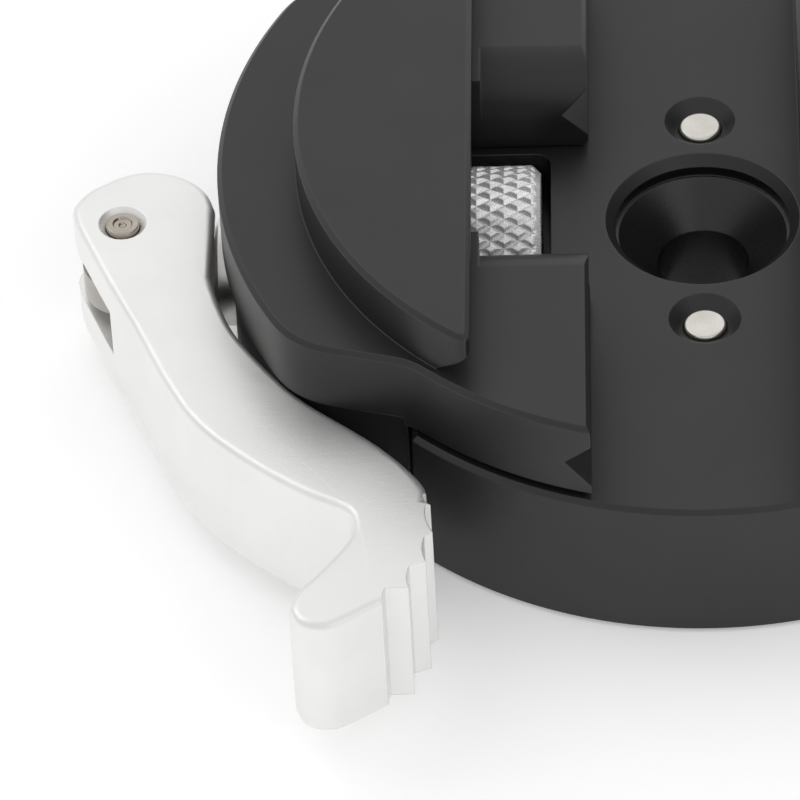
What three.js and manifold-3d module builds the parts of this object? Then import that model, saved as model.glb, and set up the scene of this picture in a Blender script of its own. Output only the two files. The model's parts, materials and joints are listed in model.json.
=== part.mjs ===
// Round quick-release clamp for dovetail camera plates: a disc base with a fixed two-tier jaw,
// a sliding two-tier jaw on guide rods, and a cam lever that pulls it in through a draw rod
// with a knurled adjusting nut. Millimetres, +Z up, shown closed.
import * as THREE from "three";
import { mergeVertices } from "three/addons/utils/BufferGeometryUtils.js";
import Module from "manifold-3d";

const wasm = await Module();
wasm.setup();

// ---- driving dimensions (mm) -------------------------------------------------------------
const edgeBreak = 0.35;
const runningClearance = 0.06;   // radial, for shafts and pins
const looseClearance = 0.3;      // radial, for pass-through holes
const over = 1;                  // cutting shapes run this far past the faces they cut
const shaftSegments = 24;
const wideSegments = 48;
const rimSegments = 96;
const profileSegments = 12;      // to a curve of a profile
const cornerSegments = 6;
const splineSegments = 4;
const roundSteps = 4;            // facets across a rounded edge
const easeSteps = 4;             // facets round a small corner
const shelfSteps = 30;
const lobeSteps = 24;
const lobeCornerSteps = 8;
const camSteps = 24;

// disc base and the two-tier dovetail jaws
const baseRadius = 30;
const baseThickness = 11.6;
const lowerTierHeight = 6.5;
const upperTierHeight = 4.1;
const tierStep = 8.1;            // lower lip to upper lip
const lipFlat = 1.65;            // height of the straight lip above each dovetail
const lowerGrooveDepth = 1.85;
const fixedLipX = 7.1;           // fixed lower lip, from the disc centre
const movingLipX = -8.05;        // moving lower lip, clamp closed
const upperTierSetback = 1.3;    // from the base's edge
const upperCornerRadius = 1.3;

// sliding jaw
const partingX = -20.5;          // flat where the base ends and the jaw's body begins
const partingGap = 0.3;
const slideGap = 0.15;           // between the jaw's shelf and the base floor
const groundClearance = 0.4;
const shelfSetback = 0.5;        // from the base's edge
const lobeOverhang = 4.3;        // past the base's radius, behind the lever
const lobeHalfLength = 17.3;     // along its arc
const lobeCornerReach = 2.9;
const stepCornerReach = 1.2;
const lowerBodyInset = 0.6;      // below the top of the lever
const ledgeGap = 0.3;
const bodySeam = 1;              // height by which the pieces of one body run into each other
const partingSeam = 0.2;         // the same along the parting flat

// mounting hole, countersunk for an M6 screw
const mountHoleRadius = 3.3;
const sinkRimRadius = 6.95;
const sinkRimChamfer = 0.7;
const sinkLandDepth = 1.5;
const sinkConeRadius = 6.05;

// draw rod, adjusting nut and its pocket
const drawRodRadius = 2.45;
const nutRadius = 7.1;
const nutLength = 5.5;
const nutChamfer = 0.6;
const nutGroundGap = 0.4;
const nutWasherThickness = 0.5;
const nutEndGap = 0.1;
const pocketSideGap = 0.15;
const pocketWall = 2.9;          // base wall between the parting flat and the pocket
const pocketEndGap = 0.7;
const pocketCornerRadius = 1.2;
const windowSideGap = 0.9;       // window in the jaw, past the nut
const windowDepth = 11.1;        // from the lower lip to the closed end, under the upper tier
const windowRoof = 0.3;          // past the ledge, up into the undercut
const reliefSpread = 3.75;       // finger relief at the window's mouth
const reliefFall = 4.1;
const reliefDepth = 7.65;

// guide rods, bushes and lock pins
const guideRodRadius = 2;
const guideRodWall = 1.22;       // base wall between the pocket and each rod
const guideRodDrop = 1.3;        // below the draw rod
const guideRodReach = 6.5;       // into the base, from the disc centre
const guideRodStart = 10.6;      // depth of the jaw's bore
const guideRodEndGap = 0.4;
const guideRodFlat = 0.45;
const bushWall = 1;
const bushLength = 5;
const lockPinRadius = 1.5;
const lockPinRecess = 0.5;
const lockPinChamfer = 0.25;
const lockSinkRadius = 2.6;
const lockSinkDepth = 0.8;

// return springs beside the draw rod
const springMeanRadius = 1.3;
const springWireRadius = 0.25;
const springTurns = 8;
const springStepsPerTurn = 10;
const springWireSegments = 3;
const springPocketGap = 0.2;
const springWall = 0.5;
const springInBase = 2;
const springInJaw = 7;
const springEndGap = 0.1;

// cam lever
const camReach = 6.55;           // pivot to wear disc, closed
const camRise = 1.5;             // jaw travel over the whole swing
const leverSwing = 110;          // degrees
const leverThickness = 10.4;
const leverDrop = 0.25;          // its middle below the draw rod's axis
const leverEdge = 0.55;
const camFlange = 1;             // top and bottom skins of the head, clear of the wear disc
const camFlatEnd = 5.85;         // length of the cam's flat, from the rod's axis to the inner side
const slotHeight = 4.2;          // slot for the draw rod's eye
const slotRadius = 6.3;
const rodSlotRadius = 8.7;       // where the draw rod leaves the head as it swings
const pivotPinRadius = 1.2;
const pivotPinChamfer = 0.2;
const pivotSinkRadius = 1.75;
const pivotRecess = 0.05;
const eyeWall = 0.65;            // eye radius past the draw rod's
const eyeThickness = 2.5;
const eyeSpacerWall = 0.65;
const eyeSpacerGap = 0.1;

// wear disc between the cam and the jaw
const wearDiscThickness = 1.75;
const wearDiscPride = 1.15;      // out of the jaw's lower wall
const wearDiscRadius = 3.9;
const wearDiscChamfer = 0.2;
const discSeatGap = 0.05;

// lever outline. The head is given about the pivot, the rest beside the jaw's lobe: how far
// along its arc, and how far out from it.
const leverHead = [
  [5.5, 2.85], [4.6, 3.95], [3.3, 4.75], [1.7, 5.1], [0.3, 4.85], [-1, 4.15], [-2.3, 3.15], [-3.1, 1.7],
  [-2.75, -0.1],
];
const leverFlatTop = 1.4;        // end of the cam's flat, past the pivot
const leverArm = [
  [4.3, 8.1], [8.85, 6.85], [13.7, 6.5], [17.7, 6.4], [21.5, 5.75], [26.1, 4.8], [29.4, 3.95],
];
const leverHook = [[30.45, 4.05], [31.4, 4.9], [32, 6.35], [32.2, 9.85], [32.15, 12.5], [32.5, 13.8]];
const leverTip = [[33.15, 14.3], [33.85, 14.1], [34.5, 13.2], [35.6, 9.95]];
const gripBlank = [[40.1, 9.15], [36.2, 0.2], [33.2, 1.15]];   // end of the hook before its steps are cut
const leverInside = [[32.1, -0.25], [27.35, -1.2], [20.65, -0.2], [16.9, 0.4], [11.7, 1.25], [8, 1.5]];

// grip steps cut into the finger hook, from its tip up, placed beside the jaw's lobe: the
// tread's outer corner, the hollow of the riser above it, and the riser's end
const gripSteps = [
  [[36.55, 11.65], [35.6, 9.9], [35.55, 9.2]],
  [[36.65, 8.35], [36.05, 7.65], [35.85, 6.6]],
  [[36.5, 5.65], [35.65, 4.9], [35.35, 3.7]],
  [[35.6, 3], [34.35, 2.25], [33.85, 1]],
  [[34.15, 0.85], [33.6, 0.75], [33, 0.2]],
];
// outer corners of what is cut away
const gripWaste = [[33.4, -2.3], [40.1, -3.55], [45.1, 13.25], [37.6, 14.05]];

// ---- places that follow from them --------------------------------------------------------
const lowerTierZ = baseThickness + lowerTierHeight;
const upperTierZ = lowerTierZ + upperTierHeight;
const upperTierRadius = baseRadius - upperTierSetback;
const upperUndercut = upperTierHeight - lipFlat;
const shelfRadius = baseRadius - shelfSetback;
const lobeRadius = baseRadius + lobeOverhang;
const shelfZ = baseThickness + slideGap;
const jawBodyX = partingX - partingGap;

const rodAxisZ = nutRadius + nutGroundGap;
const pocketStartX = partingX + pocketWall;
const washerX = pocketStartX + nutEndGap / 2;
const nutX = washerX + nutWasherThickness + nutEndGap / 2;
const pocketEndX = nutX + nutLength + pocketEndGap;
const pocketHalfWidth = nutRadius + pocketSideGap;
const windowHalfWidth = nutRadius + windowSideGap;
const windowEndX = movingLipX - windowDepth;
const guideRodY = pocketHalfWidth + guideRodWall + guideRodRadius;
const guideRodZ = rodAxisZ - guideRodDrop;
const bushOuterRadius = guideRodRadius + runningClearance + bushWall;
const springHoleRadius = springMeanRadius + springWireRadius + springPocketGap;
const springY = drawRodRadius + looseClearance + springWall + springHoleRadius;

const lowerWallX = -(lobeRadius - lowerBodyInset);
const camFaceX = lowerWallX - wearDiscPride;
const discBackX = camFaceX + wearDiscThickness;
const pivotX = camFaceX - camReach;
const eyeRadius = drawRodRadius + eyeWall;
const eyeSpacerRadius = pivotPinRadius + runningClearance + eyeSpacerWall;
const eyeSpacerThickness = (slotHeight - eyeThickness - 3 * eyeSpacerGap) / 2;
const leverBottomZ = rodAxisZ - leverDrop - leverThickness / 2;
const leverTopZ = leverBottomZ + leverThickness;
const ledgeZ = leverTopZ + ledgeGap;
const camRate = camRise / THREE.MathUtils.degToRad(leverSwing);

// ---- materials ---------------------------------------------------------------------------
function material(color, roughness, metalness) {
  return new THREE.MeshStandardMaterial({ color, roughness, metalness });
}

const finish = {
  anodised: () => material(0x17181a, 0.5, 0.6),
  satin: () => material(0xd2d4d8, 0.35, 0.9),
  steel: () => material(0xbfc1c4, 0.3, 1),
  brightSteel: () => material(0xdcdde0, 0.18, 1),
  bronze: () => material(0xa8763e, 0.4, 1),
  springSteel: () => material(0x8d9095, 0.35, 1),
  acetal: () => material(0xe8e6dc, 0.5, 0),
};

// ---- solids ------------------------------------------------------------------------------
function solid(geometry) {
  const bare = geometry.clone();
  bare.deleteAttribute("normal");
  bare.deleteAttribute("uv");
  const merged = mergeVertices(bare, 1e-5);
  return new wasm.Manifold(new wasm.Mesh({
    numProp: 3,
    vertProperties: new Float32Array(merged.attributes.position.array),
    triVerts: new Uint32Array(merged.index.array),
  }));
}

function toGeometry(manifold) {
  const mesh = manifold.getMesh();
  const geometry = new THREE.BufferGeometry();
  geometry.setAttribute("position", new THREE.BufferAttribute(mesh.vertProperties, 3));
  geometry.setIndex(new THREE.BufferAttribute(mesh.triVerts, 1));
  geometry.computeVertexNormals();
  return geometry;
}

const clamp = new THREE.Group();

function addPart(name, shape, surface) {
  const geometry = shape.isBufferGeometry ? shape : toGeometry(shape);
  const mesh = new THREE.Mesh(geometry, surface());
  mesh.name = name;
  clamp.add(mesh);
}

// Upright prism of a plan outline. A chamfer shrinks the outline at both ends, and a round
// grows it between them.
function upright(shape, bottom, top, { chamfer = 0, round = 0, curveSegments = shaftSegments } = {}) {
  const bevel = chamfer || round;
  const geometry = new THREE.ExtrudeGeometry(shape, {
    depth: top - bottom - 2 * bevel,
    bevelEnabled: bevel > 0,
    bevelThickness: bevel,
    bevelSize: bevel,
    bevelOffset: chamfer ? -chamfer : 0,
    bevelSegments: round ? roundSteps : 1,
    curveSegments,
  });
  geometry.translate(0, 0, bottom + bevel);
  return geometry;
}

function box(x0, x1, y0, y1, z0, z1) {
  const geometry = new THREE.BoxGeometry(x1 - x0, y1 - y0, z1 - z0);
  geometry.translate((x0 + x1) / 2, (y0 + y1) / 2, (z0 + z1) / 2);
  return solid(geometry);
}

function polar(radius, degrees) {
  const angle = THREE.MathUtils.degToRad(degrees);
  return [radius * Math.cos(angle), radius * Math.sin(angle)];
}

// Outline through the points, which may repeat where two of its curves meet.
function polygon(points) {
  const corners = points.map(([a, b]) => new THREE.Vector2(a, b));
  const next = (index) => corners[(index + 1) % corners.length];
  return new THREE.Shape(corners.filter((corner, index) => corner.distanceTo(next(index)) > 1e-3));
}

function arc(radius, from, to, steps) {
  const points = [];
  for (let i = 0; i <= steps; i += 1) points.push(polar(radius, from + ((to - from) * i) / steps));
  return points;
}

function eased(start, corner, end, steps = easeSteps) {
  const [a, b, c] = [start, corner, end].map(([x, y]) => new THREE.Vector2(x, y));
  return new THREE.QuadraticBezierCurve(a, b, c).getPoints(steps).map((point) => [point.x, point.y]);
}

// Prism along Y of a profile given as [x, z].
function alongY(points, y0, y1) {
  const geometry = new THREE.ExtrudeGeometry(polygon(points), { depth: y1 - y0, bevelEnabled: false });
  geometry.rotateX(Math.PI / 2);
  geometry.translate(0, y1, 0);
  return solid(geometry);
}

// Prism along X of a profile shape drawn as (y, z).
function alongX(shape, x0, x1) {
  const geometry = new THREE.ExtrudeGeometry(shape, {
    depth: x1 - x0,
    bevelEnabled: false,
    curveSegments: profileSegments,
  });
  geometry.rotateX(Math.PI / 2);
  geometry.rotateZ(Math.PI / 2);
  geometry.translate(x0, 0, 0);
  return solid(geometry);
}

// Turned piece: profile [radius, height] from axis to axis, standing on +Z.
function turned(profile, segments = shaftSegments) {
  const points = profile.map(([radius, height]) => new THREE.Vector2(radius, height));
  const geometry = new THREE.LatheGeometry(points, segments);
  geometry.rotateX(Math.PI / 2);
  return geometry;
}

function discZ(radius, z0, z1, x = 0, y = 0, segments = shaftSegments) {
  const geometry = turned([[0, z0], [radius, z0], [radius, z1], [0, z1]], segments);
  geometry.translate(x, y, 0);
  return solid(geometry);
}

// Turned piece with its axis along +X through (y, z), its profile as [radius, x].
function turnedX(profile, y, z, segments = shaftSegments) {
  const geometry = turned(profile, segments);
  geometry.rotateY(Math.PI / 2);
  geometry.translate(0, y, z);
  return geometry;
}

function discX(radius, x0, x1, y, z, segments = shaftSegments) {
  return solid(turnedX([[0, x0], [radius, x0], [radius, x1], [0, x1]], y, z, segments));
}

// ---- jaw tiers ---------------------------------------------------------------------------
// Part of a disc past a straight lip, on the side given by the sign of lipX, with the two
// corners where the lip meets the arc rounded.
function lipSegment(radius, lipX, corner) {
  const lip = Math.abs(lipX);
  const lipEnd = Math.sqrt(radius ** 2 - lip ** 2);
  const meet = THREE.MathUtils.radToDeg(Math.acos(lip / radius) - corner / radius);
  const back = eased([lip, lipEnd - corner], [lip, lipEnd], polar(radius, meet));
  const front = back.map(([x, y]) => [x, -y]).reverse();
  const points = [...front, ...back, ...arc(radius, meet, -meet, wideSegments)];
  return polygon(points.map(([x, y]) => [Math.sign(lipX) * x, y]));
}

// The dovetail cuts under a pair of tiers: a V groove in the lower lip and an undercut that
// reaches the lower tier's top.
function dovetailCuts(lipX, side) {
  const reach = baseRadius + over;
  const grooveTop = lowerTierZ - lipFlat;
  const apex = grooveTop - lowerGrooveDepth;
  const grooveBottom = apex - lowerGrooveDepth;
  const lower = [
    [lipX - side * over, grooveTop + over],
    [lipX + side * lowerGrooveDepth, apex],
    [lipX - side * over, grooveBottom - over],
  ];
  const upperLip = lipX + side * tierStep;
  const upper = [
    [upperLip - side * over, upperTierZ - lipFlat + over],
    [upperLip + side * upperUndercut, lowerTierZ],
    [upperLip - side * over, lowerTierZ],
  ];
  const ordered = side > 0 ? (points) => points : (points) => [...points].reverse();
  return alongY(ordered(lower), -reach, reach).add(alongY(ordered(upper), -reach, reach));
}

function upperTier(lipX) {
  const shape = lipSegment(upperTierRadius, lipX, upperCornerRadius);
  return solid(upright(shape, lowerTierZ - bodySeam, upperTierZ, { chamfer: edgeBreak }));
}

// ---- base with the fixed jaw -------------------------------------------------------------
function discOutline(radius, cutX) {
  const half = Math.acos(cutX / radius);
  const shape = new THREE.Shape();
  shape.absarc(0, 0, radius, -half, half, false);
  shape.closePath();
  return shape;
}

function mountHole() {
  const coneDepth = sinkLandDepth + sinkConeRadius - mountHoleRadius;
  const landRadius = sinkRimRadius - sinkRimChamfer;
  return solid(turned([
    [0, -over],
    [mountHoleRadius, -over],
    [mountHoleRadius, baseThickness - coneDepth],
    [sinkConeRadius, baseThickness - sinkLandDepth],
    [landRadius, baseThickness - sinkLandDepth],
    [landRadius, baseThickness - sinkRimChamfer],
    [sinkRimRadius + over, baseThickness + over],
    [0, baseThickness + over],
  ], wideSegments));
}

function nutPocket() {
  const r = pocketCornerRadius;
  const shape = new THREE.Shape();
  shape.moveTo(pocketStartX, -pocketHalfWidth);
  shape.lineTo(pocketEndX - r, -pocketHalfWidth);
  shape.absarc(pocketEndX - r, -pocketHalfWidth + r, r, -Math.PI / 2, 0, false);
  shape.lineTo(pocketEndX, pocketHalfWidth - r);
  shape.absarc(pocketEndX - r, pocketHalfWidth - r, r, 0, Math.PI / 2, false);
  shape.lineTo(pocketStartX, pocketHalfWidth);
  return solid(upright(shape, -over, baseThickness + over, { curveSegments: cornerSegments }));
}

function lockPinSeat(y) {
  const hole = lockPinRadius + runningClearance;
  const geometry = turned([
    [0, guideRodZ],
    [hole, guideRodZ],
    [hole, baseThickness - lockSinkDepth],
    [lockSinkRadius, baseThickness],
    [lockSinkRadius, baseThickness + over],
    [0, baseThickness + over],
  ]);
  geometry.translate(0, y, 0);
  return solid(geometry);
}

function baseBody() {
  const footing = upright(discOutline(baseRadius, partingX), 0, baseThickness,
    { chamfer: edgeBreak, curveSegments: rimSegments });
  const lowerTier = upright(discOutline(baseRadius, fixedLipX), baseThickness - bodySeam, lowerTierZ,
    { chamfer: edgeBreak, curveSegments: rimSegments });
  let body = solid(footing)
    .add(solid(lowerTier))
    .add(upperTier(fixedLipX + tierStep))
    .subtract(dovetailCuts(fixedLipX, 1))
    .subtract(mountHole())
    .subtract(nutPocket())
    .subtract(discX(drawRodRadius + looseClearance, partingX - over, pocketStartX + over, 0, rodAxisZ));
  const rodHole = guideRodRadius + runningClearance;
  for (const side of [-1, 1]) {
    body = body
      .subtract(discX(rodHole, partingX - over, guideRodReach + runningClearance, side * guideRodY,
        guideRodZ))
      .subtract(lockPinSeat(side * guideRodY))
      .subtract(discX(springHoleRadius, partingX - over, partingX + springInBase, side * springY, rodAxisZ));
  }
  return body;
}

// ---- sliding jaw -------------------------------------------------------------------------
function between([ax, ay], [bx, by], distance) {
  const share = distance / Math.hypot(bx - ax, by - ay);
  return [ax + (bx - ax) * share, ay + (by - ay) * share];
}

// Plan outline: a shelf arc over the base, then a step at the parting flat out to the wider
// lobe that carries the lever's cam. The front half mirrors the back half.
function jawOutline(inset) {
  const shelf = shelfRadius - inset;
  const lobe = lobeRadius - inset;
  const lipAngle = THREE.MathUtils.radToDeg(Math.acos(movingLipX / shelf));
  const inner = [partingX, Math.sqrt(shelf ** 2 - partingX ** 2)];
  const innerAngle = THREE.MathUtils.radToDeg(Math.atan2(inner[1], inner[0]));
  const shelfEnd = innerAngle - THREE.MathUtils.radToDeg(stepCornerReach / shelf);
  const lobeStart = 180 - THREE.MathUtils.radToDeg(lobeHalfLength / lobeRadius);
  const turn = THREE.MathUtils.radToDeg(Math.atan(lobeCornerReach / lobe));
  const outer = polar(Math.hypot(lobe, lobeCornerReach), lobeStart - turn);
  const back = [
    ...arc(shelf, lipAngle, shelfEnd, shelfSteps),
    ...eased(polar(shelf, shelfEnd), inner, between(inner, outer, stepCornerReach)),
    ...eased(between(outer, inner, lobeCornerReach), outer, polar(lobe, lobeStart), lobeCornerSteps),
    ...arc(lobe, lobeStart, 180, lobeSteps),
  ];
  const front = back.map(([x, y]) => [x, -y]).reverse();
  return polygon([...back, ...front]);
}

// Window over the nut: a straight slot, with its mouth rolled open for a finger.
function nutWindow() {
  const slot = box(windowEndX, movingLipX + over, -windowHalfWidth, windowHalfWidth,
    0, lowerTierZ + windowRoof);
  const reliefHalfWidth = windowHalfWidth + reliefSpread;
  const roll = (reliefSpread ** 2 + reliefFall ** 2) / (2 * reliefSpread);
  const sweep = Math.asin(reliefFall / roll);
  const rollZ = lowerTierZ - reliefFall;
  const profile = new THREE.Shape();
  profile.moveTo(-windowHalfWidth, rollZ - over);
  profile.lineTo(windowHalfWidth, rollZ - over);
  profile.absarc(windowHalfWidth + roll, rollZ, roll, Math.PI, Math.PI - sweep, true);
  profile.lineTo(reliefHalfWidth, lowerTierZ + over);
  profile.lineTo(-reliefHalfWidth, lowerTierZ + over);
  profile.absarc(-windowHalfWidth - roll, rollZ, roll, sweep, 0, true);
  const relief = alongX(profile, movingLipX - reliefDepth, movingLipX + over);
  return slot.add(relief);
}

function slidingJaw() {
  const reachY = 2 * baseRadius;
  const outline = jawOutline(0);
  const shelf = solid(upright(outline, shelfZ, lowerTierZ, { chamfer: edgeBreak }));
  const lobeOverLever = box(-reachY, jawBodyX - partingSeam, -reachY, reachY, 0, ledgeZ);
  const lower = solid(upright(jawOutline(lowerBodyInset), groundClearance, ledgeZ + bodySeam,
    { chamfer: edgeBreak }));
  const overBase = box(jawBodyX, reachY, -reachY, reachY, 0, ledgeZ + bodySeam + over);
  let body = shelf.subtract(lobeOverLever)
    .add(lower.subtract(overBase))
    .add(upperTier(movingLipX - tierStep))
    .subtract(dovetailCuts(movingLipX, -1))
    .subtract(nutWindow())
    .subtract(discX(wearDiscRadius + discSeatGap, camFaceX - over, discBackX + discSeatGap, 0, rodAxisZ,
      wideSegments))
    .subtract(discX(drawRodRadius + looseClearance, camFaceX - over, windowEndX + over, 0, rodAxisZ));
  const rodHole = guideRodRadius + looseClearance;
  const bushHole = bushOuterRadius + runningClearance;
  for (const side of [-1, 1]) {
    const y = side * guideRodY;
    body = body
      .subtract(discX(bushHole, jawBodyX - bushLength, jawBodyX + over, y, guideRodZ))
      .subtract(discX(rodHole, jawBodyX - guideRodStart, jawBodyX + over, y, guideRodZ))
      .subtract(discX(springHoleRadius, jawBodyX - springInJaw, jawBodyX + over, side * springY, rodAxisZ));
  }
  return body;
}

// ---- cam lever ---------------------------------------------------------------------------
// A place beside the jaw's lobe: how far along its arc, and how far out from it.
function besideLobe([along, out]) {
  return polar(lobeRadius + out, 180 + THREE.MathUtils.radToDeg(along / lobeRadius));
}

function smooth(shape, points) {
  shape.splineThru(points.map(([x, y]) => new THREE.Vector2(x, y)));
}

// Plan outline of the lever's flat faces, which its rounded edge grows by leverEdge. The arm
// and the hook follow the lobe when it changes size.
function leverOutline() {
  const flatX = pivotX + camReach - leverEdge;
  const shape = new THREE.Shape();
  shape.moveTo(flatX, -camFlatEnd);
  shape.lineTo(flatX, leverFlatTop);
  smooth(shape, leverHead.map(([x, y]) => [pivotX + x, y]));
  smooth(shape, leverArm.map(besideLobe));
  smooth(shape, leverHook.map(besideLobe));
  smooth(shape, leverTip.map(besideLobe));
  for (const corner of gripBlank) shape.lineTo(...besideLobe(corner));
  smooth(shape, [...leverInside.map(besideLobe), [flatX, -camFlatEnd]]);
  return shape;
}

// Everything past the grip steps, cut straight down.
function gripCut() {
  const steps = gripSteps.flatMap((step) => eased(...step.map(besideLobe)));
  const outline = polygon([...steps, ...gripWaste.map(besideLobe)]);
  return solid(upright(outline, leverBottomZ - over, leverTopZ + over));
}

// The cam's support distance falls by the same amount for every degree of swing, so its
// outline is the involute that touches the wear disc just off the rod's axis.
function camPoint(angle) {
  const reach = camReach - camRate * angle;
  return [
    reach * Math.cos(angle) + camRate * Math.sin(angle),
    reach * Math.sin(angle) - camRate * Math.cos(angle),
  ];
}

function camRelief() {
  const swing = THREE.MathUtils.degToRad(leverSwing);
  const outer = camReach + over;
  const points = [];
  for (let i = camSteps; i >= 0; i -= 1) points.push(camPoint((swing * i) / camSteps));
  for (let i = 0; i <= camSteps; i += 2) {
    const angle = (swing * i) / camSteps;
    points.push([outer * Math.cos(angle), i === 0 ? -camRate : outer * Math.sin(angle)]);
  }
  return solid(upright(polygon(points), leverBottomZ + camFlange, leverTopZ - camFlange))
    .translate([pivotX, 0, 0]);
}

function camLever() {
  const hole = pivotPinRadius + runningClearance;
  const sink = pivotSinkRadius - hole;
  const bore = turned([
    [0, leverBottomZ - over],
    [pivotSinkRadius + over, leverBottomZ - over],
    [hole, leverBottomZ + sink],
    [hole, leverTopZ - sink],
    [pivotSinkRadius + over, leverTopZ + over],
    [0, leverTopZ + over],
  ]);
  bore.translate(pivotX, 0, 0);
  const slot = (radius) => discZ(radius, rodAxisZ - slotHeight / 2, rodAxisZ + slotHeight / 2,
    pivotX, 0, wideSegments);
  const rodSide = box(pivotX - rodSlotRadius, pivotX + rodSlotRadius + over,
    -drawRodRadius - looseClearance, rodSlotRadius, 0, leverTopZ);
  const block = upright(leverOutline(), leverBottomZ, leverTopZ,
    { round: leverEdge, curveSegments: splineSegments });
  return solid(block)
    .subtract(gripCut())
    .subtract(camRelief())
    .subtract(slot(slotRadius))
    .subtract(slot(rodSlotRadius).intersect(rodSide))
    .subtract(solid(bore));
}

function pivotPin() {
  const chamfer = pivotPinChamfer;
  const bottom = leverBottomZ + pivotRecess;
  const top = leverTopZ - pivotRecess;
  const geometry = turned([
    [0, bottom],
    [pivotPinRadius - chamfer, bottom],
    [pivotPinRadius, bottom + chamfer],
    [pivotPinRadius, top - chamfer],
    [pivotPinRadius - chamfer, top],
    [0, top],
  ]);
  geometry.translate(pivotX, 0, 0);
  return geometry;
}

// ---- draw rod and nut --------------------------------------------------------------------
function drawRod() {
  const half = eyeThickness / 2;
  const hole = pivotPinRadius + runningClearance;
  const rodEnd = nutX + nutLength - nutChamfer;
  const neck = camFaceX + looseClearance;
  const shank = turnedX([
    [0, neck],
    [drawRodRadius, neck],
    [drawRodRadius, rodEnd - nutChamfer],
    [drawRodRadius - nutChamfer, rodEnd],
    [0, rodEnd],
  ], 0, rodAxisZ);
  const tongue = box(pivotX, neck, -drawRodRadius, drawRodRadius, rodAxisZ - half, rodAxisZ + half)
    .intersect(discX(drawRodRadius, pivotX - over, neck + over, 0, rodAxisZ));
  return discZ(eyeRadius, rodAxisZ - half, rodAxisZ + half, pivotX, 0, wideSegments)
    .add(tongue)
    .add(solid(shank))
    .subtract(discZ(hole, rodAxisZ - half - over, rodAxisZ + half + over, pivotX));
}

function ringX(inner, outer, x0, x1, y, z) {
  const profile = [[inner, x0], [outer, x0], [outer, x1], [inner, x1], [inner, x0]];
  return turnedX(profile, y, z);
}

function ringZ(inner, outer, z0, z1, x) {
  const geometry = turned([[inner, z0], [outer, z0], [outer, z1], [inner, z1], [inner, z0]]);
  geometry.translate(x, 0, 0);
  return geometry;
}

function adjustingNut() {
  const end = nutX + nutLength;
  const inner = drawRodRadius + runningClearance;
  return turnedX([
    [inner, nutX],
    [nutRadius - nutChamfer, nutX],
    [nutRadius, nutX + nutChamfer],
    [nutRadius, end - nutChamfer],
    [nutRadius - nutChamfer, end],
    [inner, end],
    [inner, nutX],
  ], 0, rodAxisZ, wideSegments);
}

// ---- guides, pins and springs ------------------------------------------------------------
function guideRod(y) {
  const rod = discX(guideRodRadius, jawBodyX - guideRodStart + guideRodEndGap, guideRodReach, y, guideRodZ);
  const flatZ = guideRodZ + guideRodRadius - guideRodFlat;
  const flatHalf = lockPinRadius + looseClearance;
  return rod.subtract(box(-flatHalf, flatHalf, y - guideRodRadius - over, y + guideRodRadius + over,
    flatZ, flatZ + over));
}

function lockPin(y) {
  const chamfer = lockPinChamfer;
  const bottom = guideRodZ + guideRodRadius - guideRodFlat + runningClearance;
  const top = baseThickness - lockPinRecess;
  const geometry = turned([
    [0, bottom],
    [lockPinRadius, bottom],
    [lockPinRadius, top - chamfer],
    [lockPinRadius - chamfer, top],
    [0, top],
  ]);
  geometry.translate(0, y, 0);
  return geometry;
}

function guideBush(y) {
  const inner = guideRodRadius + runningClearance;
  return ringX(inner, bushOuterRadius, jawBodyX - bushLength + runningClearance, jawBodyX, y, guideRodZ);
}

class Helix extends THREE.Curve {
  constructor(radius, start, length, turns) {
    super();
    Object.assign(this, { radius, start, length, turns });
  }

  getPoint(t, target = new THREE.Vector3()) {
    const angle = 2 * Math.PI * this.turns * t;
    return target.set(
      this.start + this.length * t,
      this.radius * Math.cos(angle),
      this.radius * Math.sin(angle),
    );
  }
}

function returnSpring(y) {
  const endGap = springEndGap + springWireRadius;
  const start = jawBodyX - springInJaw + endGap;
  const length = partingX + springInBase - endGap - start;
  const wire = new THREE.Shape();
  wire.absarc(0, 0, springWireRadius, 0, 2 * Math.PI, false);
  const geometry = new THREE.ExtrudeGeometry(wire, {
    steps: springTurns * springStepsPerTurn,
    extrudePath: new Helix(springMeanRadius, start, length, springTurns),
    curveSegments: springWireSegments,
    bevelEnabled: false,
  });
  geometry.translate(0, y, rodAxisZ);
  return geometry;
}

// ---- wear disc ---------------------------------------------------------------------------
function wearDisc() {
  const hole = drawRodRadius + looseClearance;
  return turnedX([
    [hole, camFaceX],
    [wearDiscRadius - wearDiscChamfer, camFaceX],
    [wearDiscRadius, camFaceX + wearDiscChamfer],
    [wearDiscRadius, discBackX],
    [hole, discBackX],
    [hole, camFaceX],
  ], 0, rodAxisZ, wideSegments);
}

// ---- assembly ----------------------------------------------------------------------------
addPart("base_body", baseBody(), finish.anodised);
addPart("movable_jaw", slidingJaw(), finish.anodised);
addPart("cam_lever", camLever(), finish.satin);
addPart("lever_pivot_pin", pivotPin(), finish.steel);
addPart("draw_rod", drawRod(), finish.steel);
addPart("adjusting_nut", adjustingNut(), finish.brightSteel);
addPart("nut_washer", ringX(drawRodRadius + runningClearance, nutRadius - nutChamfer,
  washerX, washerX + nutWasherThickness, 0, rodAxisZ), finish.steel);
addPart("cam_wear_disc", wearDisc(), finish.brightSteel);
for (const [place, side] of [["lower", -1], ["upper", 1]]) {
  const middle = rodAxisZ + side * (eyeThickness + eyeSpacerGap + eyeSpacerThickness) / 2;
  addPart(`eye_spacer_${place}`, ringZ(pivotPinRadius + runningClearance, eyeSpacerRadius,
    middle - eyeSpacerThickness / 2, middle + eyeSpacerThickness / 2, pivotX), finish.acetal);
}
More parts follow.
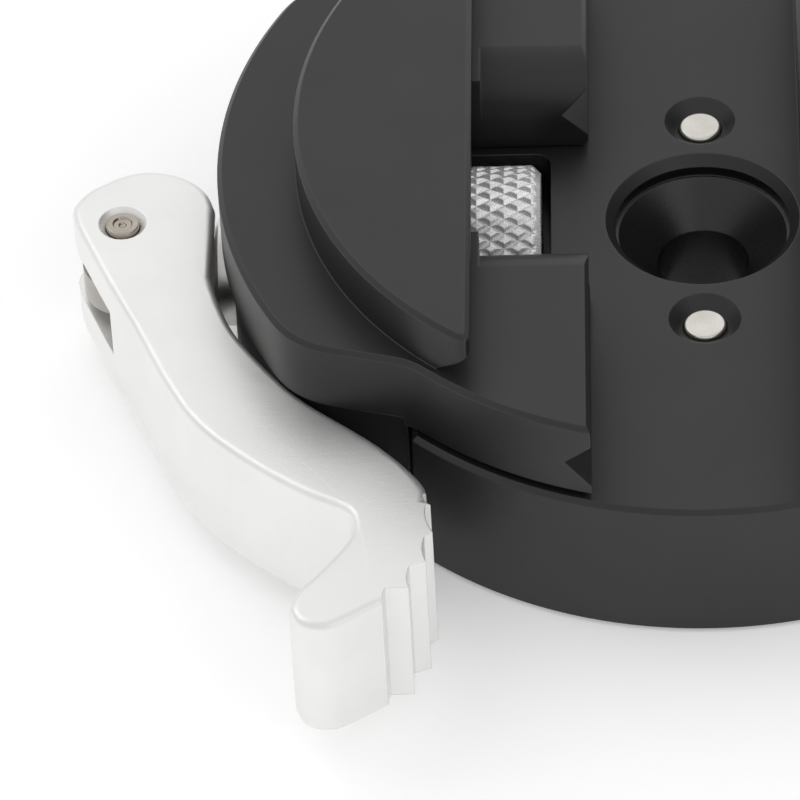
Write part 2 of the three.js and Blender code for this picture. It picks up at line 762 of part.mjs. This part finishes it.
for (const [place, side] of [["front", -1], ["back", 1]]) {
  addPart(`guide_rod_${place}`, guideRod(side * guideRodY), finish.steel);
  addPart(`guide_bush_${place}`, guideBush(side * guideRodY), finish.bronze);
  addPart(`lock_pin_${place}`, lockPin(side * guideRodY), finish.steel);
  addPart(`return_spring_${place}`, returnSpring(side * springY), finish.springSteel);
}

// The part's origin is the middle of its footprint, on the surface it stands on.
const bounds = new THREE.Box3().setFromObject(clamp);
const middle = bounds.getCenter(new THREE.Vector3());
clamp.position.set(-middle.x, -middle.y, -bounds.min.z);

export default clamp;
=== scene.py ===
"""Looks of the round lever clamp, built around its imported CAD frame.

New pieces are drawn in millimetres from the middle of the round base, and new_piece() turns them
into the frame's metres with at(). Pattern and bevel sizes are millimetres too. The frame's own
places, the camera's distance, the floor and the lights are metres.
"""
import json
import math

import bmesh
import bpy
from mathutils import Matrix, Vector


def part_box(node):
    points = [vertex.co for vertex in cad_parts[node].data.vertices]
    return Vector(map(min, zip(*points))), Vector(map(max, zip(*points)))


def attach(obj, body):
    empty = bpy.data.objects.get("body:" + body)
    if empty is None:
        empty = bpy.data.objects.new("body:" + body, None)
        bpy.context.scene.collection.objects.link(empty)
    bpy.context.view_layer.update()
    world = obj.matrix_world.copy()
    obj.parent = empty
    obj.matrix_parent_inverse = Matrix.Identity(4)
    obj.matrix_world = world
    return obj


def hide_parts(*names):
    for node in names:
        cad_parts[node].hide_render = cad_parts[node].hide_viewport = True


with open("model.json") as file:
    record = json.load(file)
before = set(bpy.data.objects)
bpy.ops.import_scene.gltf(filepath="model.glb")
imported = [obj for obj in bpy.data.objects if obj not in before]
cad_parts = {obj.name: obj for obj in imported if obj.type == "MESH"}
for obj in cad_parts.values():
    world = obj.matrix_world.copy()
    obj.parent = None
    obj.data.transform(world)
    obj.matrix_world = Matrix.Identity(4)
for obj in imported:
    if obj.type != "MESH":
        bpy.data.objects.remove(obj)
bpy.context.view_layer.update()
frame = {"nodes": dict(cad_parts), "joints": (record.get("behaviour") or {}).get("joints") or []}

NODES = frame["nodes"]
JOINTS = {joint["name"]: joint for joint in frame["joints"]}
MM = 0.001
PIVOT = Vector(JOINTS["lever_swing"]["pos_m"])
PIVOT_FROM_CENTRE_MM = 41.4
# middle of the round base, on the floor
CENTRE = Vector((PIVOT.x + PIVOT_FROM_CENTRE_MM * MM, PIVOT.y, 0))
ROD_Z_MM = PIVOT.z / MM


def at(x, y, z):
    """A place given from the middle of the round base, in millimetres."""
    return CENTRE + Vector((x, y, z)) * MM


# ---- camera ------------------------------------------------------------------------------
def aim_camera():
    lens_mm = 339.77
    elevation, azimuth, roll = (math.radians(a) for a in (43.571, 2.992, -3.379))
    target = at(-22.013, -5.922, 0)
    distance = 0.54302
    back = Vector((math.sin(azimuth) * math.cos(elevation),
                   -math.cos(azimuth) * math.cos(elevation), math.sin(elevation)))
    right = Vector((math.cos(azimuth), math.sin(azimuth), 0))
    up = back.cross(right)
    side = right * math.cos(roll) + up * math.sin(roll)
    top = up * math.cos(roll) - right * math.sin(roll)

    data = bpy.data.cameras.new("camera")
    data.lens = lens_mm
    data.clip_start, data.clip_end = 0.02, 20
    camera = bpy.data.objects.new("camera", data)
    camera.matrix_world = (Matrix.Translation(target + back * distance)
                           @ Matrix((side, top, back)).transposed().to_4x4())
    bpy.context.scene.collection.objects.link(camera)
    bpy.context.scene.camera = camera


# ---- materials ---------------------------------------------------------------------------
# a mix node has one set of sockets for each kind of value: these are the ones for colours
COLOR_A, COLOR_B = 6, 7
MIXED_COLOR = 2
# turned rings show this far from the base's middle, over the countersink
TURNED_REACH_MM = 6.3


class Surface:
    """A node material whose patterns are laid out in the piece's own metres."""

    def __init__(self, name, color, metallic, roughness, specular=0.5):
        self.material = bpy.data.materials.new(name)
        self.material.use_nodes = True
        self.tree = self.material.node_tree
        self.tree.nodes.clear()
        self.shader = self.node("ShaderNodeBsdfPrincipled")
        output = self.node("ShaderNodeOutputMaterial")
        self.tree.links.new(self.shader.outputs["BSDF"], output.inputs["Surface"])
        self.set("Base Color", (*color, 1))
        self.set("Metallic", metallic)
        self.set("Roughness", roughness)
        self.set("Specular IOR Level", specular)
        self.place = self.node("ShaderNodeTexCoord").outputs["Object"]
        self.normal = None

    def node(self, kind, **settings):
        made = self.tree.nodes.new(kind)
        for key, value in settings.items():
            setattr(made, key, value)
        return made

    def set(self, socket, value):
        self.shader.inputs[socket].default_value = value

    def link(self, output, node, socket):
        self.tree.links.new(output, node.inputs[socket])

    def math(self, operation, *values):
        made = self.node("ShaderNodeMath", operation=operation)
        for index, value in enumerate(values):
            if isinstance(value, (int, float)):
                made.inputs[index].default_value = value
            else:
                self.link(value, made, index)
        return made.outputs[0]

    def stretched(self, scale):
        """Coordinates squeezed along each axis, so a pattern runs long where the scale is small."""
        mapping = self.node("ShaderNodeMapping")
        mapping.inputs["Scale"].default_value = scale
        self.link(self.place, mapping, "Vector")
        return mapping.outputs["Vector"]

    def noise(self, size_mm, detail=2.0, stretch=None):
        noise = self.node("ShaderNodeTexNoise")
        noise.inputs["Scale"].default_value = 1 / (size_mm * MM)
        noise.inputs["Detail"].default_value = detail
        self.link(self.place if stretch is None else self.stretched(stretch), noise, "Vector")
        return noise.outputs["Fac"]

    def rings(self, centre, axis, size_mm):
        """Fine turned rings about an axis through the centre, and the distance from it."""
        split = self.node("ShaderNodeVectorMath", operation="SUBTRACT")
        self.link(self.place, split, 0)
        split.inputs[1].default_value = centre
        flat = self.node("ShaderNodeVectorMath", operation="MULTIPLY")
        self.link(split.outputs[0], flat, 0)
        flat.inputs[1].default_value = [0 if a else 1 for a in axis]
        length = self.node("ShaderNodeVectorMath", operation="LENGTH")
        self.link(flat.outputs[0], length, 0)
        noise = self.node("ShaderNodeTexNoise", noise_dimensions="1D")
        noise.inputs["Scale"].default_value = 1 / (size_mm * MM)
        noise.inputs["Detail"].default_value = 1.0
        self.link(length.outputs["Value"], noise, "W")
        return noise.outputs["Fac"], length.outputs["Value"]

    def spread(self, value, low, high, from_low=0.3, from_high=0.7):
        made = self.node("ShaderNodeMapRange")
        self.link(value, made, "Value")
        for socket, number in (("From Min", from_low), ("From Max", from_high),
                               ("To Min", low), ("To Max", high)):
            made.inputs[socket].default_value = number
        return made.outputs["Result"]

    def mix(self, share, dark, light):
        """A colour between two, by the share."""
        made = self.node("ShaderNodeMix", data_type="RGBA")
        self.link(share, made, 0)
        made.inputs[COLOR_A].default_value = (*dark, 1)
        made.inputs[COLOR_B].default_value = (*light, 1)
        return made.outputs[MIXED_COLOR]

    def edges(self, radius_mm):
        """Rounds sharp edges in the shading, and returns how close a point is to one."""
        bevel = self.node("ShaderNodeBevel", samples=6)
        bevel.inputs["Radius"].default_value = radius_mm * MM
        self.normal = bevel.outputs["Normal"]
        geometry = self.node("ShaderNodeNewGeometry")
        dot = self.node("ShaderNodeVectorMath", operation="DOT_PRODUCT")
        self.link(bevel.outputs["Normal"], dot, 0)
        self.link(geometry.outputs["Normal"], dot, 1)
        return self.spread(dot.outputs["Value"], 1.0, 0.0, 0.86, 0.995)

    def bump(self, height, depth_mm):
        bump = self.node("ShaderNodeBump")
        bump.inputs["Distance"].default_value = depth_mm * MM
        self.link(height, bump, "Height")
        if self.normal is not None:
            self.link(self.normal, bump, "Normal")
        self.normal = bump.outputs["Normal"]

    def done(self):
        if self.normal is not None:
            self.link(self.normal, self.shader, "Normal")
        return self.material


def anodised(name, turned_about):
    """Fine blasted black anodising, with a painted highlight along its edges, where it is also
    smoother, and turned rings on the countersink about the base's middle."""
    made = Surface(name, (0.01, 0.01, 0.01), 0.0, 0.42, 0.52)
    edge = made.edges(radius_mm=0.14)
    cloud = made.noise(size_mm=6, detail=3)
    grain = made.noise(size_mm=0.09)
    body = made.mix(made.spread(cloud, 0, 1), (0.0075, 0.0075, 0.0075), (0.0105, 0.0105, 0.01))
    # painted highlight: a lighter colour along the edges, standing in for light caught on them
    painted_edge_highlight = made.mix(edge, (0, 0, 0), (0.035, 0.035, 0.034))
    both = made.node("ShaderNodeMix", data_type="RGBA", blend_type="ADD")
    both.inputs[0].default_value = 1
    made.link(body, both, COLOR_A)
    made.link(painted_edge_highlight, both, COLOR_B)
    made.link(both.outputs[MIXED_COLOR], made.shader, "Base Color")
    rings, distance = made.rings(turned_about, (0, 0, 1), size_mm=0.09)
    turned = made.math("LESS_THAN", distance, TURNED_REACH_MM * MM)
    smoother_edge = made.math("MULTIPLY", edge, 0.1)
    smoother_turned = made.math("MULTIPLY", turned, 0.12)
    rough = made.math("SUBTRACT", made.spread(grain, 0.38, 0.46), smoother_edge)
    made.link(made.math("SUBTRACT", rough, smoother_turned), made.shader, "Roughness")
    made.bump(grain, depth_mm=0.0022)
    made.bump(made.math("MULTIPLY", rings, turned), depth_mm=0.004)
    return made.done()


def blasted_silver():
    """Blasted and clear anodised aluminium, with faint milled lines under the blasting."""
    made = Surface("blasted_silver", (0.86, 0.86, 0.85), 0.82, 0.42)
    edge = made.edges(radius_mm=0.12)
    grain = made.noise(size_mm=0.13, detail=3)
    streak = made.noise(size_mm=0.3, detail=3, stretch=(0.3, 1, 1))
    cloud = made.noise(size_mm=5)
    made.link(made.mix(made.spread(cloud, 0, 1), (0.84, 0.84, 0.83), (0.88, 0.88, 0.87)),
              made.shader, "Base Color")
    rough = made.math("ADD", made.spread(grain, 0.38, 0.48), made.spread(cloud, -0.02, 0.02))
    smoother_edge = made.math("MULTIPLY", edge, 0.2)
    made.link(made.math("SUBTRACT", rough, smoother_edge), made.shader, "Roughness")
    made.bump(streak, depth_mm=0.007)
    made.bump(grain, depth_mm=0.008)
    return made.done()


def turned_metal(name, color, roughness, centre, axis, size_mm=0.06):
    """Lathe-turned metal, its fine rings running round the axis through the centre."""
    made = Surface(name, color, 1.0, roughness)
    made.edges(radius_mm=0.06)
    rings, _ = made.rings(centre, axis, size_mm)
    cloud = made.noise(size_mm=1.5, detail=3)
    dim = tuple(c * 0.86 for c in color)
    made.link(made.mix(made.spread(cloud, 0, 1), dim, color), made.shader, "Base Color")
    made.link(made.spread(rings, roughness - 0.06, roughness + 0.08), made.shader, "Roughness")
    made.bump(rings, depth_mm=0.0015)
    return made.done()


def ground_metal(name, color, roughness, stretch, depth_mm=0.002, edge_mm=0.08, metallic=1.0):
    """Ground metal, its fine scratches running along the axis with the smallest stretch."""
    made = Surface(name, color, metallic, roughness)
    made.edges(edge_mm)
    scratch = made.noise(size_mm=0.08, detail=3, stretch=stretch)
    cloud = made.noise(size_mm=2, detail=3)
    dim = tuple(c * 0.84 for c in color)
    made.link(made.mix(made.spread(cloud, 0, 1), dim, color), made.shader, "Base Color")
    made.link(made.spread(scratch, roughness - 0.06, roughness + 0.1), made.shader, "Roughness")
    made.bump(scratch, depth_mm)
    return made.done()


def plastic(name, color):
    """Plain machined plastic with a faint grain."""
    made = Surface(name, color, 0.0, 0.45)
    made.edges(radius_mm=0.08)
    cloud = made.noise(size_mm=1.2, detail=3)
    grain = made.noise(size_mm=0.12)
    dim = tuple(c * 0.92 for c in color)
    made.link(made.mix(made.spread(cloud, 0, 1), dim, color), made.shader, "Base Color")
    made.link(made.spread(grain, 0.4, 0.52), made.shader, "Roughness")
    made.bump(grain, depth_mm=0.002)
    return made.done()


# ---- carried-over CAD nodes ----------------------------------------------------------------
SHARP_DEGREES = 32
WELD_METRES = 2e-6


def polish(name, material):
    """Shades a CAD node smooth between its sharp edges and gives it its finish."""
    node = NODES[name]
    mesh = node.data
    if "custom_normal" in mesh.attributes:
        mesh.attributes.remove(mesh.attributes["custom_normal"])
    mesh.shade_smooth()
    weld = node.modifiers.new("weld", "WELD")
    weld.merge_threshold = WELD_METRES
    split = node.modifiers.new("split", "EDGE_SPLIT")
    split.split_angle = math.radians(SHARP_DEGREES)
    split.use_edge_sharp = False
    node.modifiers.new("weighted", "WEIGHTED_NORMAL").keep_sharp = True
    mesh.materials.clear()
    mesh.materials.append(material)


# ---- new pieces ------------------------------------------------------------------------------
def new_piece(name, bm, body, replaces, material, smooth_degrees=35):
    """Makes an object of a mesh drawn in millimetres from the base's middle: it rides on the
    body, takes its material and takes the place of the CAD nodes in replaces."""
    bmesh.ops.remove_doubles(bm, verts=bm.verts[:], dist=1e-5)
    bmesh.ops.recalc_face_normals(bm, faces=bm.faces[:])
    for vertex in bm.verts:
        vertex.co = at(*vertex.co)
    for face in bm.faces:
        face.smooth = True
    limit = math.radians(smooth_degrees)
    for edge in bm.edges:
        edge.smooth = edge.is_manifold and edge.calc_face_angle(0) < limit
    mesh = bpy.data.meshes.new(name)
    bm.to_mesh(mesh)
    bm.free()
    mesh.materials.append(material)
    piece = bpy.data.objects.new(name, mesh)
    bpy.context.scene.collection.objects.link(piece)
    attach(piece, body)
    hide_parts(*replaces)


def ring_of(bm, count, point):
    """New vertices round a full turn, where point gives the place for an angle."""
    return [bm.verts.new(point(2 * math.pi * i / count)) for i in range(count)]


def bridge(bm, first, second):
    """Joins two rings of the same count by four-sided faces."""
    count = len(first)
    for i in range(count):
        j = (i + 1) % count
        bm.faces.new((first[i], first[j], second[j], second[i]))


def capped_loops(bm, loops):
    """Joins each ring to the next, and closes the first and the last by a face."""
    for first, second in zip(loops, loops[1:]):
        bridge(bm, first, second)
    bm.faces.new(loops[0])
    bm.faces.new(loops[-1])


def about_rod(x, radius, angle, y=0):
    """A place at a radius from the rod's axis, or from the line beside it at y."""
    return (x, y + radius * math.cos(angle), ROD_Z_MM + radius * math.sin(angle))


def turned_z(bm, profile, x, y, count=64):
    """Turned solid standing on +Z: profile of (radius, height), closed by its two end rings."""
    loops = [ring_of(bm, count, lambda a, r=r, z=z: (x + r * math.cos(a), y + r * math.sin(a), z))
             for r, z in profile]
    capped_loops(bm, loops)


def rounded_end(radius, top, rim, steps=5):
    """Profile points over the rounded rim of an upper end, from the wall in to the end face."""
    points = []
    for i in range(steps + 1):
        angle = math.pi / 2 * i / steps
        points.append((radius - rim + rim * math.cos(angle), top - rim * (1 - math.sin(angle))))
    return points


def lock_pin(side, y_mm, material):
    """Turned pin with a rounded rim and a faintly dished upper end."""
    name = f"lock_pin_{side}"
    low, high = (corner.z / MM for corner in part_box(name))
    radius, chamfer, rim = 1.5, 0.1, 0.22
    dish = [(0.9, high - 0.012), (0.3, high - 0.02)]
    bm = bmesh.new()
    turned_z(bm, [(radius - chamfer, low), (radius, low + chamfer),
                  *rounded_end(radius, high, rim), *dish], 0, y_mm)
    new_piece(f"{name}_turned", bm, "base", [name], material)


def pivot_pin(material):
    """Turned pin with a hollow in each end, the upper one in two steps."""
    low, high = (corner.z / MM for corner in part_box("lever_pivot_pin"))
    radius, rim, hollow = 1.2, 0.15, 0.72
    lower_hollow = [(0.1, low + 0.22), (0.5, low + 0.2), (hollow, low)]
    upper_hollow = [(hollow, high), (0.62, high - 0.14), (0.3, high - 0.14),
                    (0.2, high - 0.26), (0.05, high - 0.3)]
    bm = bmesh.new()
    turned_z(bm, [*lower_hollow, (radius - rim, low), (radius, low + rim),
                  *rounded_end(radius, high, rim), *upper_hollow], -PIVOT_FROM_CENTRE_MM, 0)
    new_piece("lever_pivot_pin_turned", bm, "lever", ["lever_pivot_pin"], material)


def knurled_nut(material):
    """Nut with a diamond knurl: sharp valleys along both diagonals, flat-topped crests."""
    low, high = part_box("adjusting_nut")
    start, end = ((corner.x - CENTRE.x) / MM for corner in (low, high))
    crest = (high.z - low.z) / 2 / MM
    depth, chamfer = 0.24, 0.6
    bore, bore_chamfer, face_step = 2.51, 0.45, 0.45
    # teeth round the nut, millimetres between them along it, mesh steps to each, and the share of
    # the way from a valley to a tooth's middle where its flat top starts
    teeth, pitch, parts, blunt = 38, 1.92, 12, 0.55
    rows = round((end - start) / pitch * parts)
    step = (end - start) / rows
    count = teeth * parts

    def height(u, v):
        """0 in a valley, 1 on a crest; u counts teeth round the nut, v counts pitches along it."""
        near = [abs(w - round(w)) * 2 for w in (u + v, u - v)]
        return min(*near, blunt) / blunt

    bm = bmesh.new()
    loops = []
    for row in range(rows + 1):
        x = start + row * step
        limit = crest - chamfer + min(x - start, end - x)
        ring = []
        for i in range(count):
            radius = min(crest - depth * (1 - height(i / parts, row / parts)), limit)
            ring.append(bm.verts.new(about_rod(x, radius, 2 * math.pi * i / count)))
        loops.append(ring)
    for row in range(rows):
        for i in range(count):
            j = (i + 1) % count
            a, b, c, d = loops[row][i], loops[row][j], loops[row + 1][j], loops[row + 1][i]
            u, v = (i + 0.5) / parts, (row + 0.5) / parts
            to_sum, to_difference = (abs(w - round(w)) for w in (u + v, u - v))
            # each quad is split along the valley that passes nearer to it
            faces = ((a, b, d), (b, c, d)) if to_sum < to_difference else ((a, b, c), (a, c, d))
            for face in faces:
                bm.faces.new(face)

    inner = []
    for outer, x, inward in ((loops[0], start, 1), (loops[-1], end, -1)):
        previous = outer
        for radius, setback in ((crest - chamfer - face_step, 0.0), (bore + bore_chamfer, 0.0),
                                (bore, bore_chamfer)):
            ring = ring_of(bm, count, lambda angle, r=radius, s=setback: (
                about_rod(x + inward * s, r, angle)))
            bridge(bm, previous, ring)
            previous = ring
        inner.append(previous)
    bridge(bm, *inner)
    new_piece("adjusting_nut_knurled", bm, "nut", ["adjusting_nut"], material,
              smooth_degrees=14)


# where the rod's threaded end takes over from the rest of it
ROD_JOIN_X_MM = -26.0


def draw_rod_eye(material):
    """The draw rod's eye and plain neck, cut from the CAD node."""
    bm = bmesh.new()
    bm.from_mesh(NODES["draw_rod"].data)
    bmesh.ops.remove_doubles(bm, verts=bm.verts[:], dist=1e-6)
    geometry = bm.verts[:] + bm.edges[:] + bm.faces[:]
    bmesh.ops.bisect_plane(bm, geom=geometry, plane_co=at(ROD_JOIN_X_MM, 0, 0), plane_no=(1, 0, 0),
                           clear_outer=True)
    bmesh.ops.edgeloop_fill(bm, edges=[edge for edge in bm.edges if edge.is_boundary])
    for vertex in bm.verts:
        vertex.co = (vertex.co - CENTRE) / MM
    new_piece("draw_rod_eye", bm, "draw_rod", ["draw_rod"], material,
              SHARP_DEGREES)


def draw_rod_thread(material):
    """The draw rod from the join to its end: a short plain length, then a V thread."""
    end = (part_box("draw_rod")[1].x - CENTRE.x) / MM
    crest, depth, pitch = 2.45, 0.42, 0.8
    thread_start, run_in_turns, end_chamfer = -23.0, 2, 0.6
    # half the groove's width, as a share of the pitch
    groove = 0.42
    count, per_pitch = 48, 16
    rows = int((end - thread_start) / pitch * per_pitch)
    bm = bmesh.new()
    loops = [ring_of(bm, count, lambda angle: about_rod(ROD_JOIN_X_MM, crest, angle))]
    for row in range(rows + 1):
        x = thread_start + (end - thread_start) * row / rows
        run_in = min(1.0, (x - thread_start) / (run_in_turns * pitch))
        limit = crest - max(0.0, end_chamfer - (end - x))
        ring = []
        for i in range(count):
            phase = (x / pitch + i / count) % 1
            cut = max(0.0, 1 - abs(phase - 0.5) / groove)
            radius = min(crest - depth * run_in * cut, limit)
            ring.append(bm.verts.new(about_rod(x, radius, 2 * math.pi * i / count)))
        loops.append(ring)
    capped_loops(bm, loops)
    new_piece("draw_rod_thread", bm, "draw_rod", ["draw_rod"], material,
              smooth_degrees=50)


def return_spring(side, y_mm, material):
    """Round-wire spring with closed end coils, inside the length of its CAD node."""
    name = f"return_spring_{side}"
    low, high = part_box(name)
    # radius of the wire, and of the coil at the wire's middle
    wire, mean = 0.25, 1.3
    start = (low.x - CENTRE.x) / MM + wire
    end = (high.x - CENTRE.x) / MM - wire
    turns, per_turn, sides = 9, 28, 12
    # turns at each end that lie all but touching
    dead, coil_gap = 1.0, 0.02
    closed_pitch = 2 * wire + coil_gap
    open_pitch = (end - start - 2 * dead * closed_pitch) / (turns - 2 * dead)

    def along(turn):
        if turn < dead:
            return start + closed_pitch * turn
        if turn > turns - dead:
            return end - closed_pitch * (turns - turn)
        return start + dead * closed_pitch + open_pitch * (turn - dead)

    steps = turns * per_turn
    centres = []
    for i in range(steps + 1):
        turn = turns * i / steps
        centres.append(Vector(about_rod(along(turn), mean, 2 * math.pi * turn, y_mm)))
    bm = bmesh.new()
    loops = []
    for i, centre in enumerate(centres):
        tangent = (centres[min(i + 1, steps)] - centres[max(i - 1, 0)]).normalized()
        outward = Vector((0, centre.y - y_mm, centre.z - ROD_Z_MM)).normalized()
        across = tangent.cross(outward).normalized()
        loops.append(ring_of(bm, sides, lambda a, c=centre, o=outward, s=across: (
            c + (o * math.cos(a) + s * math.sin(a)) * wire)))
    capped_loops(bm, loops)
    new_piece(f"{name}_wire", bm, "base", [name], material, smooth_degrees=60)


# ---- stage -----------------------------------------------------------------------------------
WHITE = (1, 1, 1, 1)


def floor():
    """White floor that glows a little, just under the base."""
    floor_material = Surface("floor", (0.93, 0.93, 0.93), 0.0, 0.75, specular=0.1)
    floor_material.set("Emission Color", WHITE)
    floor_material.set("Emission Strength", 0.24)
    half, z = 2.0, -0.00005
    corners = [(-half, -half, z), (half, -half, z), (half, half, z), (-half, half, z)]
    mesh = bpy.data.meshes.new("floor")
    mesh.from_pydata(corners, [], [(0, 1, 2, 3)])
    mesh.materials.append(floor_material.done())
    floor_object = bpy.data.objects.new("floor", mesh)
    bpy.context.scene.collection.objects.link(floor_object)


def lights():
    """Even white surroundings, and three soft lamps: place, size in metres, and watts."""
    world = bpy.data.worlds.new("studio")
    world.use_nodes = True
    background = world.node_tree.nodes["Background"]
    background.inputs["Color"].default_value = WHITE
    background.inputs["Strength"].default_value = 0.78
    bpy.context.scene.world = world

    for name, place, size, power in (
        ("key", (-0.45, 0.35, 0.7), 0.5, 0.7),
        ("fill", (0.45, -0.5, 0.55), 0.5, 0.3),
        ("back", (0.1, 0.7, 0.5), 0.6, 0.4),
    ):
        data = bpy.data.lights.new(name, "AREA")
        data.size = size
        data.energy = power
        light = bpy.data.objects.new(name, data)
        light.location = CENTRE + Vector(place)
        light.rotation_euler = (CENTRE - light.location).to_track_quat("-Z", "Y").to_euler()
        bpy.context.scene.collection.objects.link(light)


# ---- the clamp -------------------------------------------------------------------------------
LOCK_PIN_Y_MM = 10.47
SPRING_Y_MM = 5.0
ALONG_X, ALONG_Z = (1, 0, 0), (0, 0, 1)
EVEN = (1, 1, 1)

aim_camera()
floor()
lights()
bpy.context.scene.view_settings.view_transform = "Standard"

black = anodised("black_anodising", CENTRE)
silver = blasted_silver()
rod_centre = at(0, 0, ROD_Z_MM)
rod_steel = ground_metal("ground_rod", (0.44, 0.42, 0.39), 0.3, stretch=(0.15, 1, 1))
disc_steel = turned_metal("turned_disc", (0.8, 0.79, 0.77), 0.3, rod_centre, ALONG_X)
washer_steel = turned_metal("turned_washer", (0.62, 0.62, 0.61), 0.3, rod_centre, ALONG_X)
# near-white, half-diffuse colour: painted sheen that stands in for the bright highlight over the
# knurl
knurl_steel_painted_sheen = ground_metal("knurled_steel", (0.97, 0.97, 0.98), 0.24, EVEN, depth_mm=0.001,
                           edge_mm=0.04, metallic=0.45)
wire_steel = ground_metal("spring_wire", (0.45, 0.46, 0.48), 0.3, EVEN)
bush_bronze = turned_metal("bush_bronze", (0.6, 0.42, 0.22), 0.35, rod_centre, ALONG_X)
spacer_plastic = plastic("acetal", (0.82, 0.81, 0.77))
pivot_steel = turned_metal("pivot_end", (0.44, 0.4, 0.35), 0.24, PIVOT, ALONG_Z, size_mm=0.08)

polish("base_body", black)
polish("movable_jaw", black)
polish("cam_lever", silver)
polish("cam_wear_disc", disc_steel)
polish("nut_washer", washer_steel)
for end in ("lower", "upper"):
    polish(f"eye_spacer_{end}", spacer_plastic)
pivot_pin(pivot_steel)
draw_rod_eye(rod_steel)
draw_rod_thread(rod_steel)
knurled_nut(knurl_steel_painted_sheen)
for side, sign in (("front", -1), ("back", 1)):
    pin_y_mm = sign * LOCK_PIN_Y_MM
    pin_steel = turned_metal(f"pin_end_{side}", (0.68, 0.66, 0.61), 0.32, at(0, pin_y_mm, 0),
                             ALONG_Z, size_mm=0.1)
    polish(f"guide_rod_{side}", rod_steel)
    polish(f"guide_bush_{side}", bush_bronze)
    lock_pin(side, pin_y_mm, pin_steel)
    return_spring(side, sign * SPRING_Y_MM, wire_steel)
